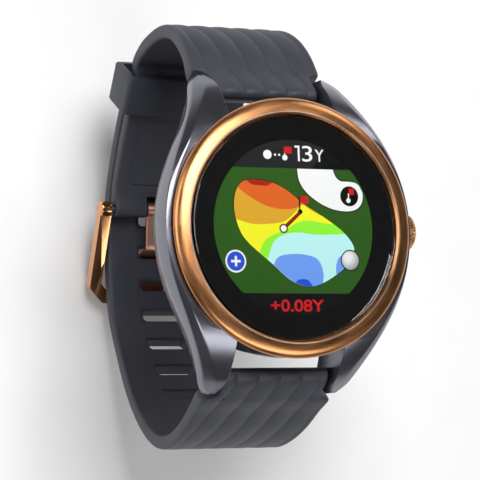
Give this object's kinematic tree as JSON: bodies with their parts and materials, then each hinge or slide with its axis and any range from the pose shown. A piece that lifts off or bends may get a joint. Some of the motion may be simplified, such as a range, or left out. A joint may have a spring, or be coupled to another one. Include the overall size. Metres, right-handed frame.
{
  "type": "golf gps watch",
  "caption": "Round golf GPS watch with horned lugs, rose-gold bezel and crown, a colour map display and a closed ribbed silicone band on a pin buckle.",
  "frame": {"origin": "centre of the flat case back", "axes": "+Z out of the dial, +Y towards 12 o'clock, +X towards the crown"},
  "size_m": [0.0488, 0.0764, 0.0675],
  "materials": {
    "case": "satin slate grey",
    "rose_gold": "brushed, polished edges",
    "rose_gold_satin": "satin",
    "glass": "clear, polished",
    "display": "lit screen behind glass",
    "black_plastic": "matte",
    "silicone": "soft matte, moulded ribs",
    "seal_rubber": "matte",
    "steel": "turned",
    "gold_contact": "polished",
    "circuit_board": "solder mask",
    "battery_foil": "foil",
    "ceramic": "fired ceramic",
    "flex_film": "polyimide film"
  },
  "bodies": {
    "watch_case": {"mid_case": "case", "bezel": "rose_gold", "lens": "glass", "lens_gasket": "seal_rubber", "display_panel": "display", "display_frame": "black_plastic", "inner_frame": "black_plastic", "main_board": "circuit_board", "battery": "battery_foil", "gnss_module": "steel", "patch_antenna": "ceramic", "vibration_motor": "steel", "display_flex": "flex_film", "case_back": "case", "back_gasket": "seal_rubber", "case_screw_1": "steel", "case_screw_2": "steel", "case_screw_3": "steel", "case_screw_4": "steel", "charge_contact_1": "gold_contact", "charge_contact_2": "gold_contact", "charge_contact_3": "gold_contact", "charge_contact_4": "gold_contact", "crown_tube": "steel", "crown_o_ring": "seal_rubber", "push_switch": "black_plastic"},
    "crown_push_rod": {"crown_plunger": "black_plastic"},
    "crown": {"crown_cap": "rose_gold", "crown_stem": "steel", "encoder_wheel": "black_plastic"},
    "band": {"strap_upper": "silicone", "strap_lower": "silicone", "buckle_bar": "steel", "upper_bar_tube": "steel", "lower_bar_tube": "steel"},
    "keeper_loop": {"keeper": "silicone"},
    "buckle": {"buckle_frame": "rose_gold"},
    "tongue": {"buckle_tongue": "rose_gold_satin"},
    "upper_tip": {"upper_bar_plunger": "steel"},
    "upper_lever": {"upper_bar_release_pin": "steel"},
    "lower_tip": {"lower_bar_plunger": "steel"},
    "lower_lever": {"lower_bar_release_pin": "steel"}
  },
  "joints": [
    {"name": "band_swing", "type": "hinge", "parent": "watch_case", "child": "band", "pos_m": [0, 0.0254, 0.002], "axis": [1, 0, 0], "range_deg": [0, 50]},
    {"name": "crown_push", "type": "slide", "parent": "watch_case", "child": "crown_push_rod", "axis": [-1, 0, 0], "range_m": [0, 0.0006], "stiffness_N_per_m": 200},
    {"name": "crown_turn", "type": "hinge", "parent": "crown_push_rod", "child": "crown", "pos_m": [0.0243, 0, 0.0084], "axis": [1, 0, 0], "continuous": true},
    {"name": "keeper_slide", "type": "slide", "parent": "band", "child": "keeper_loop", "axis": [0, -0.8359, -0.5489], "range_m": [0, 0.005]},
    {"name": "buckle_fold", "type": "hinge", "parent": "band", "child": "buckle", "pos_m": [0, 0.01, -0.0422], "axis": [-1, 0, 0], "range_deg": [0, 4]},
    {"name": "tongue_lift", "type": "hinge", "parent": "band", "child": "tongue", "pos_m": [0, 0.01, -0.0422], "axis": [1, 0, 0], "range_deg": [0, 2]},
    {"name": "upper_tip_in", "type": "slide", "parent": "band", "child": "upper_tip", "axis": [1, 0, 0], "range_m": [0, 0.0014], "stiffness_N_per_m": 150},
    {"name": "upper_lever_in", "type": "slide", "parent": "band", "child": "upper_lever", "axis": [-1, 0, 0], "range_m": [0, 0.0014], "stiffness_N_per_m": 150},
    {"name": "lower_tip_out", "type": "slide", "parent": "band", "child": "lower_tip", "axis": [-1, 0, 0], "range_m": [0, 0.0014]},
    {"name": "lower_lever_out", "type": "slide", "parent": "band", "child": "lower_lever", "axis": [1, 0, 0], "range_m": [0, 0.0014]}
  ]
}
